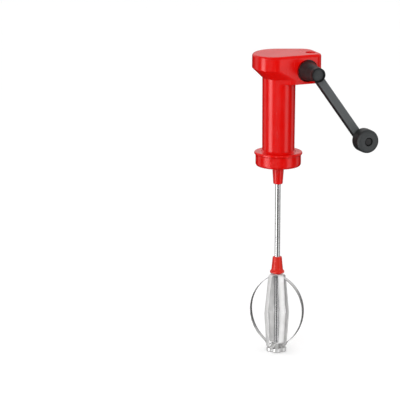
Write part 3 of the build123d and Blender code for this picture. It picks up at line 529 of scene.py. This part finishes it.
def painted_hub_gap_shade(tree, place, centre, radius):
    """Painted shade: a dark ring in the gap round the crank's hub, on the near side of the head
    alone.
    """
    reach = axis_distance(tree, axis_frame(tree, place, centre))
    outer = radius + HUB_GAP_WIDTH
    ring = calc(
        tree, "MULTIPLY",
        span(tree, reach, radius - HUB_GAP_INNER_FADE, radius),
        span(tree, reach, outer, outer + HUB_GAP_OUTER_FADE, 1.0, 0.0),
    )
    near_side = span(tree, coordinate(tree, place, "Y"), *NEAR_SIDE_END, 1.0, 0.0)
    return calc(tree, "MULTIPLY", ring, near_side)


def red_material(name, color, polish, rim_radius, hub=None):
    """Glossy red moulded plastic, rubbed at its widest rim, with painted shade in the gap round the
    hub.
    """
    material, tree, shader, place = blank_material(name, IOR=1.49)
    skin = use_group(
        tree, "moulded skin",
        {
            "Vector": place, "Wave Scale": 140.0, "Grain Share": 0.12, "Polish": polish,
            "Spread": 0.05,
        },
    )
    drift = use_group(
        tree, "colour drift", {"Vector": place, "Color": color, "Other": darker(color, 0.9)}
    )
    rub = use_group(tree, "rim rub", {"Vector": place, "Radius": rim_radius})["Mask"]
    scratch = use_group(tree, "fine scratches", {"Vector": place, "Scale": 55.0})["Mask"]
    pale = (min(1.0, color[0] * 1.15), color[1] * 4.0, color[2] * 4.0, 1.0)
    worn_and_shaded = mixed(tree, calc(tree, "MULTIPLY", rub, 0.55), drift["Color"], pale)
    if hub:
        # Painted shade: the gap round the hub is painted as a dark ring over the worn red.
        worn_and_shaded = mixed(tree, painted_hub_gap_shade(tree, place, *hub), worn_and_shaded, GAP_PAINTED_SHADE)
    tree.links.new(worn_and_shaded, shader.inputs["Base Color"])
    marks = calc(tree, "MULTIPLY", calc(tree, "MAXIMUM", rub, scratch), 0.16)
    tree.links.new(calc(tree, "ADD", skin["Roughness"], marks), shader.inputs["Roughness"])
    bump(tree, shader, skin["Height"], strength=0.06, distance=0.00025)
    return material


def black_material(name, color, polish, centre, rim_radius, front, fade, paleness):
    """Black plastic with a fine texture, polished at its rim, with painted light that makes its front
    paler.
    """
    material, tree, shader, place = blank_material(name, IOR=1.5, Specular_IOR_Level=0.25)
    local = axis_frame(tree, place, centre)
    skin = use_group(
        tree, "moulded skin",
        {
            "Vector": place, "Wave Scale": 700.0, "Grain Scale": 1900.0, "Grain Share": 0.7,
            "Polish": polish, "Spread": 0.07,
        },
    )
    drift = use_group(
        tree, "colour drift",
        {"Vector": place, "Color": color, "Other": darker(color, 0.78), "Scale": 60.0},
    )
    rub = use_group(
        tree, "rim rub",
        {"Vector": local, "Radius": rim_radius, "Width": 0.0008, "Patch Scale": 420.0},
    )["Mask"]
    scratch = use_group(tree, "fine scratches", {"Vector": place, "Scale": 80.0})["Mask"]
    grey = (*[min(1.0, value * 2.6) for value in color[:3]], 1.0)
    scuffed = calc(tree, "MAXIMUM", rub, calc(tree, "MULTIPLY", scratch, 0.5))
    marked = calc(tree, "MULTIPLY", scuffed, 0.6)
    # Painted light: the front faces are painted paler than the rest, as if lit from the front.
    front_light_mask = span(tree, coordinate(tree, place, "Y"), front, front + fade, 1.0, 0.0)
    front_lit_colour = mixed(tree, front_light_mask, drift["Color"], darker(color, paleness))
    tree.links.new(mixed(tree, marked, front_lit_colour, grey), shader.inputs["Base Color"])
    polished = calc(tree, "MULTIPLY", rub, 0.12)
    tree.links.new(calc(tree, "SUBTRACT", skin["Roughness"], polished), shader.inputs["Roughness"])
    bump(tree, shader, skin["Height"], strength=0.55, distance=0.00022)
    return material


def steel_material(name, color, polish, along, across, depth, brightness):
    """Steel with streaks along the part and hairline scratches, satin where it isn't bright."""
    material, tree, shader, place = blank_material(name, Metallic=brightness)
    streaks = use_group(
        tree, "drawn streaks",
        {"Vector": place, "Across": across, "Along": along, "Polish": polish, "Spread": 0.07},
    )
    drift = use_group(
        tree, "colour drift",
        {"Vector": place, "Color": color, "Other": darker(color, 0.86), "Scale": 90.0},
    )
    scratch = use_group(tree, "fine scratches", {"Vector": place, "Scale": 140.0})["Mask"]
    tree.links.new(drift["Color"], shader.inputs["Base Color"])
    dull = calc(tree, "MULTIPLY", scratch, 0.12)
    tree.links.new(calc(tree, "ADD", streaks["Roughness"], dull), shader.inputs["Roughness"])
    bump(tree, shader, streaks["Height"], strength=depth, distance=0.0001)
    return material


def plain_material(name, color, polish, metallic=0.0, wave=300.0):
    """The inner parts: nylon, bronze, rubber and zinc plate, each with its own grain."""
    material, tree, shader, place = blank_material(name, Metallic=metallic)
    skin = use_group(
        tree, "moulded skin",
        {
            "Vector": place, "Wave Scale": wave, "Grain Scale": 3000.0, "Grain Share": 0.5,
            "Polish": polish, "Spread": 0.08,
        },
    )
    drift = use_group(
        tree, "colour drift",
        {"Vector": place, "Color": color, "Other": darker(color, 0.8), "Scale": 150.0},
    )
    tree.links.new(drift["Color"], shader.inputs["Base Color"])
    tree.links.new(skin["Roughness"], shader.inputs["Roughness"])
    bump(tree, shader, skin["Height"], strength=0.3, distance=0.0001)
    return material


def paint(node, material):
    """Gives a CAD node's object one material."""
    piece = frame["nodes"][node]
    piece.data.materials.clear()
    piece.data.materials.append(material)


# ---------------------------------------------------------------- modelling helpers


def joint_place(name):
    """A point on a joint's axis, from the frame."""
    return next(Vector(joint["pos_m"]) for joint in frame["joints"] if joint["name"] == name)


def select_only(piece):
    """Makes one object the only selected and active one."""
    bpy.ops.object.select_all(action="DESELECT")
    piece.select_set(True)
    bpy.context.view_layer.objects.active = piece


def merged_copy(node, name):
    """A copy of a CAD node's mesh as a new object, with its loose triangles joined up."""
    piece = bpy.data.objects.new(name, frame["nodes"][node].data.copy())
    bpy.context.scene.collection.objects.link(piece)
    select_only(piece)
    bpy.ops.object.mode_set(mode="EDIT")
    bpy.ops.mesh.select_all(action="SELECT")
    bpy.ops.mesh.remove_doubles(threshold=MERGE_DISTANCE)
    bpy.ops.mesh.dissolve_limited(angle_limit=FLAT_ANGLE)
    bpy.ops.object.mode_set(mode="OBJECT")
    return piece


def round_edges(piece, width, segments, limit):
    """Rounds the sharp edges of a mesh for good."""
    select_only(piece)
    bevel = piece.modifiers.new("rounded edges", "BEVEL")
    bevel.width = width
    bevel.segments = segments
    bevel.limit_method = "ANGLE"
    bevel.angle_limit = limit
    bpy.ops.object.modifier_apply(modifier=bevel.name)
    bpy.ops.object.shade_smooth_by_angle(angle=SMOOTH_ANGLE)


def finish_piece(piece, material, node, body):
    """Paints a new piece and ties it to the node that it stands for."""
    piece.data.materials.clear()
    piece.data.materials.append(material)
    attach(piece, body)
    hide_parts(node)


def add_plane(name, **settings):
    """A plane of its own, with nothing else selected."""
    bpy.ops.object.select_all(action="DESELECT")
    bpy.ops.mesh.primitive_plane_add(**settings)
    plane = bpy.context.active_object
    plane.name = name
    return plane


# ---------------------------------------------------------------- operators


class PrepareFinishes(bpy.types.Operator):
    """Build the node groups that the materials share"""

    bl_idname = "crank_blender.prepare_finishes"
    bl_label = "Prepare Finishes"

    def execute(self, context):
        build_moulded_skin()
        build_colour_drift()
        build_rim_rub()
        build_fine_scratches()
        build_drawn_streaks()
        return {"FINISHED"}


class PaintRedMouldings(bpy.types.Operator):
    """Paint the head, grip, lid, plug, cap and whisk cone"""

    bl_idname = "crank_blender.paint_red_mouldings"
    bl_label = "Red Mouldings"

    def execute(self, context):
        finish = context.scene.crank_finish
        polish = finish.red_roughness
        low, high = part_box("crank_hub")
        hub = (joint_place("crank_turn"), (high.x - low.x) / 2)
        shell = red_material("red_shell", finish.red, polish, GUARD_RIM_RADIUS, hub)
        cap = red_material("red_cap", finish.red, polish, CUP_RIM_RADIUS)
        cone = red_material(
            "red_cone", finish.cone_red, polish + CONE_EXTRA_BLUR, CONE_RIM_RADIUS
        )
        for node in RED_NODES:
            paint(node, cap if node == "bottom_cap" else shell)
        paint("whisk_cone", cone)
        return {"FINISHED"}


class PaintBlackMouldings(bpy.types.Operator):
    """Paint the crank's hub, arm and knob"""

    bl_idname = "crank_blender.paint_black_mouldings"
    bl_label = "Black Mouldings"

    def execute(self, context):
        finish = context.scene.crank_finish
        for node in BLACK_NODES:
            low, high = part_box(node)
            arm, knob = node == "crank_arm", node == "knob"
            material = black_material(
                "black_" + node, finish.black, finish.black_roughness,
                centre=joint_place("knob_spin" if knob else "crank_turn"),
                rim_radius=ARM_EYE_RADIUS if arm else (high.x - low.x) / 2 - BLACK_RIM_INSET,
                front=low.y,
                fade=KNOB_FRONT_FADE if knob else FRONT_FADE,
                paleness=finish.arm_paleness if arm else finish.front_paleness,
            )
            paint(node, material)
        return {"FINISHED"}


class MakeHubCap(bpy.types.Operator):
    """Make the dished cap that closes the front of the crank's hub"""

    bl_idname = "crank_blender.make_hub_cap"
    bl_label = "Hub Cap"

    def execute(self, context):
        finish = context.scene.crank_finish
        shape = context.scene.crank_cap
        low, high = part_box("hub_cap")
        centre = (low + high) / 2
        radius = (high.x - low.x) / 2
        front = low.y - shape.cap_lip
        depth = high.y - front
        bpy.ops.object.select_all(action="DESELECT")
        bpy.ops.mesh.primitive_cylinder_add(
            vertices=CAP_SIDES, radius=radius, depth=depth,
            location=(centre.x, high.y - depth / 2, centre.z), rotation=SIDEWAYS,
        )
        piece = context.active_object
        piece.name = "dished_cap"
        bpy.ops.object.transform_apply(location=True, rotation=True, scale=True)
        bpy.ops.object.mode_set(mode="EDIT")
        bpy.ops.mesh.select_mode(type="FACE")
        bpy.ops.mesh.select_all(action="DESELECT")
        bpy.ops.object.mode_set(mode="OBJECT")
        face = min(piece.data.polygons, key=lambda side: side.center.y)
        face.select = True
        bpy.ops.object.mode_set(mode="EDIT")
        bpy.ops.mesh.inset(thickness=shape.cap_rim)
        bpy.ops.mesh.extrude_region_move(
            TRANSFORM_OT_translate={"value": (0.0, shape.cap_dish, 0.0)}
        )
        bpy.ops.object.mode_set(mode="OBJECT")
        round_edges(piece, shape.cap_edge, CAP_EDGE_SEGMENTS, CAP_EDGE_ANGLE)
        # Painted shade and light: the cap's rim is painted darker, for a shadowed inner wall, and its
        # dish paler, for a lit face.
        rim, dish = [
            black_material(
                name, darker(finish.black, tone), finish.black_roughness, centre, radius,
                front, CAP_FRONT_FADE, paleness=1.0,
            )
            for name, tone in (
                ("black_cap", CAP_RIM_SHADE_TONE),
                ("black_cap_dish", finish.front_paleness * CAP_DISH_LIGHT_TONE),
            )
        ]
        finish_piece(piece, rim, "hub_cap", "crank")
        piece.data.materials.append(dish)
        for side in piece.data.polygons:
            if side.normal.y < FACES_FRONT and side.center.y > front + shape.cap_dish / 2:
                side.material_index = 1
        return {"FINISHED"}


class MakeWhiskStrips(bpy.types.Operator):
    """Make the whisk's three rolled strips, with rounded edges, and paint its foot"""

    bl_idname = "crank_blender.make_whisk_strips"
    bl_label = "Whisk Strips and Foot"

    def execute(self, context):
        finish = context.scene.crank_finish
        strips = context.scene.crank_strips
        polish = finish.steel_roughness
        outer = steel_material(
            "rolled_strip", finish.steel, polish,
            along=26.0, across=2600.0, depth=0.1, brightness=0.7,
        )
        inner = steel_material(
            "satin_strip", finish.satin_steel, polish + SATIN_EXTRA_BLUR,
            along=26.0, across=2600.0, depth=0.1, brightness=0.3,
        )
        for node, name in STRIPS.items():
            steel = outer if node == "whisk_outer_loop" else inner
            piece = merged_copy(node, name)
            round_edges(piece, strips.edge_rounding, strips.edge_segments, STRIP_EDGE_ANGLE)
            finish_piece(piece, steel, node, "spindle")
        pressed = steel_material(
            "pressed_foot", finish.satin_steel, polish + FOOT_EXTRA_BLUR,
            along=300.0, across=300.0, depth=0.12, brightness=0.4,
        )
        paint("whisk_foot", pressed)
        return {"FINISHED"}


class PaintSpindle(bpy.types.Operator):
    """Paint the long rod, the crank's axle and the lay shaft"""

    bl_idname = "crank_blender.paint_spindle"
    bl_label = "Rod and Shafts"

    def execute(self, context):
        finish = context.scene.crank_finish
        bright = steel_material(
            "ground_rod", finish.rod_steel, finish.steel_roughness,
            along=6.0, across=900.0, depth=0.01, brightness=0.8,
        )
        for node in ROD_NODES:
            paint(node, bright)
        return {"FINISHED"}


class PaintInnerParts(bpy.types.Operator):
    """Paint the gears, bushes, fasteners and seal"""

    bl_idname = "crank_blender.paint_inner_parts"
    bl_label = "Inner Parts"

    def execute(self, context):
        finishes = (
            (NYLON_NODES, "nylon", (0.80, 0.77, 0.69, 1.0), 0.42, {}),
            (
                BRONZE_NODES, "sintered_bronze", (0.50, 0.33, 0.15, 1.0), 0.38,
                {"metallic": 1.0, "wave": 900.0},
            ),
            (
                FASTENER_NODES, "zinc_plate", (0.55, 0.55, 0.56, 1.0), 0.32,
                {"metallic": 1.0, "wave": 700.0},
            ),
            (("nozzle_seal",), "seal_rubber", (0.03, 0.03, 0.03, 1.0), 0.62, {}),
            (
                ("knob_pin",), "blackened_steel", (0.03, 0.03, 0.031, 1.0), 0.4,
                {"metallic": 0.6, "wave": 700.0},
            ),
        )
        for nodes, name, color, polish, others in finishes:
            material = plain_material(name, color, polish, **others)
            for node in nodes:
                paint(node, material)
        return {"FINISHED"}


class MakeStudio(bpy.types.Operator):
    """Make the pale floor, the soft light and the camera"""

    bl_idname = "crank_blender.make_studio"
    bl_label = "Studio"

    def execute(self, context):
        studio = context.scene.crank_studio
        make_floor()
        make_sky(studio)
        for name, turn, bottom, top, width, setting, glossy in PANELS:
            azimuth = studio.azimuth + radians(turn)
            make_panel(name, azimuth, bottom, top, width, getattr(studio, setting), glossy)
        make_camera(studio)
        context.scene.view_settings.view_transform = "Standard"
        return {"FINISHED"}


def make_floor():
    """A wide pale floor that neither lights the object nor shows in its gloss."""
    floor = add_plane("floor", size=FLOOR_SIDE, location=(0.0, 0.0, -FLOOR_DROP))
    material, tree, shader, place = blank_material(
        "floor_paper", Specular_IOR_Level=0.1, Roughness=0.9, Emission_Color=WHITE,
        Emission_Strength=0.1,
    )
    paper = use_group(
        tree, "colour drift",
        {
            "Vector": place, "Color": (0.96, 0.96, 0.96, 1.0),
            "Other": (0.955, 0.955, 0.955, 1.0), "Scale": 3.0,
        },
    )
    tree.links.new(paper["Color"], shader.inputs["Base Color"])
    floor.data.materials.append(material)
    floor.visible_diffuse = False
    floor.visible_glossy = False


def make_sky(studio):
    """White to the camera; soft light on the object, and in its gloss a backdrop in a dim room."""
    world = bpy.data.worlds.new("studio_sky")
    world.use_nodes = True
    tree = world.node_tree
    sky = tree.nodes["Background"]
    heading = add(tree, "ShaderNodeTexCoord").outputs["Generated"]
    height = coordinate(tree, heading, "Z")
    seen = add(tree, "ShaderNodeLightPath").outputs
    soft = span(tree, height, -0.25, 0.2, studio.sky_below, studio.sky)
    forward = (-sin(studio.azimuth), cos(studio.azimuth), 0.0)
    behind = vector_calc(tree, "DOT_PRODUCT", heading, forward)["Value"]
    backdrop = calc(
        tree, "MULTIPLY", span(tree, behind, 0.3, 0.9), span(tree, height, -0.05, 0.3)
    )
    gloss = calc(tree, "MULTIPLY_ADD", backdrop, studio.backdrop_gloss, studio.sky_gloss)
    on_object = between(tree, seen["Is Glossy Ray"], soft, gloss)
    light = between(tree, seen["Is Camera Ray"], on_object, SEEN_WHITE)
    tree.links.new(light, sky.inputs["Strength"])
    sky.inputs["Color"].default_value = WHITE
    bpy.context.scene.world = world


def make_panel(name, azimuth, bottom, top, width, strength, glossy):
    """An upright panel that faces the object, hidden from the camera, fading to its side edges."""
    panel = add_plane(name, size=1.0)
    outward = Vector((sin(azimuth), -cos(azimuth), 0.0))
    side = Vector((cos(azimuth), sin(azimuth), 0.0))
    turn = Matrix((side * width, Vector((0.0, 0.0, top - bottom)), outward)).transposed().to_4x4()
    turn.translation = outward * PANEL_DISTANCE + Vector((0.0, 0.0, (top + bottom) / 2))
    panel.data.transform(turn)
    material, tree, shader, place = blank_material(
        name, Base_Color=UNLIT, Specular_IOR_Level=0.0, Emission_Color=WHITE
    )
    across = vector_calc(tree, "DOT_PRODUCT", place, side)["Value"]
    away = calc(tree, "DIVIDE", calc(tree, "ABSOLUTE", across), width / 2)
    glow = span(tree, away, PANEL_BRIGHT_SHARE, 1.0, strength, 0.0)
    tree.links.new(glow, shader.inputs["Emission Strength"])
    panel.data.materials.append(material)
    panel.visible_camera = False
    panel.visible_shadow = False
    panel.visible_diffuse = not glossy
    panel.visible_glossy = glossy


def make_camera(studio):
    """A long lens at the photograph's angle, aimed so that the object stands as it does there."""
    azimuth, elevation = studio.azimuth, studio.elevation
    back = Vector((sin(azimuth) * cos(elevation), -cos(azimuth) * cos(elevation), sin(elevation)))
    right = Vector((cos(azimuth), sin(azimuth), 0.0))
    up = back.cross(right)
    half = IMAGE_SIDE / 2
    aside = (half - studio.look_pixel[0]) * studio.pixel
    above = (studio.look_pixel[1] - half) * studio.pixel
    centre = Vector((0.0, 0.0, studio.look_height)) + right * aside + up * above
    camera = bpy.data.cameras.new("camera")
    camera.sensor_width = SENSOR_WIDTH
    camera.lens = SENSOR_WIDTH * studio.distance / (IMAGE_SIDE * studio.pixel)
    camera.clip_end = VIEW_END
    holder = bpy.data.objects.new("camera", camera)
    bpy.context.scene.collection.objects.link(holder)
    facing = Matrix((right, up, back)).transposed().to_4x4()
    facing = facing @ Matrix.Rotation(studio.roll, 4, "Z")
    facing.translation = centre + back * studio.distance
    holder.matrix_world = facing
    bpy.context.scene.camera = holder


class CrankBlenderPanel(bpy.types.Panel):
    """Steps and settings for the blender"""

    bl_idname = "VIEW3D_PT_crank_blender"
    bl_label = "Crank Blender"
    bl_space_type = "VIEW_3D"
    bl_region_type = "UI"
    bl_category = "Crank Blender"

    def draw(self, context):
        for step in STEPS:
            self.layout.operator(step.bl_idname)
        for setting, kind in SETTINGS.items():
            group = getattr(context.scene, setting)
            box = self.layout.box()
            for name in kind.__annotations__:
                box.prop(group, name)


SETTINGS = {
    "crank_finish": FinishSettings,
    "crank_cap": CapSettings,
    "crank_strips": StripSettings,
    "crank_studio": StudioSettings,
}
STEPS = (
    PrepareFinishes,
    PaintRedMouldings,
    PaintBlackMouldings,
    MakeHubCap,
    MakeWhiskStrips,
    PaintSpindle,
    PaintInnerParts,
    MakeStudio,
)


def register():
    """Add the settings, the steps and the panel."""
    for name, group in SETTINGS.items():
        bpy.utils.register_class(group)
        setattr(bpy.types.Scene, name, bpy.props.PointerProperty(type=group))
    for item in (*STEPS, CrankBlenderPanel):
        bpy.utils.register_class(item)


def unregister():
    """Remove what register added."""
    for item in (CrankBlenderPanel, *reversed(STEPS)):
        bpy.utils.unregister_class(item)
    for name, group in reversed(SETTINGS.items()):
        delattr(bpy.types.Scene, name)
        bpy.utils.unregister_class(group)


def main():
    """Build everything in order."""
    register()
    bpy.ops.crank_blender.prepare_finishes()
    bpy.ops.crank_blender.paint_red_mouldings()
    bpy.ops.crank_blender.paint_black_mouldings()
    bpy.ops.crank_blender.make_hub_cap()
    bpy.ops.crank_blender.make_whisk_strips()
    bpy.ops.crank_blender.paint_spindle()
    bpy.ops.crank_blender.paint_inner_parts()
    bpy.ops.crank_blender.make_studio()


if __name__ == "__main__":
    main()
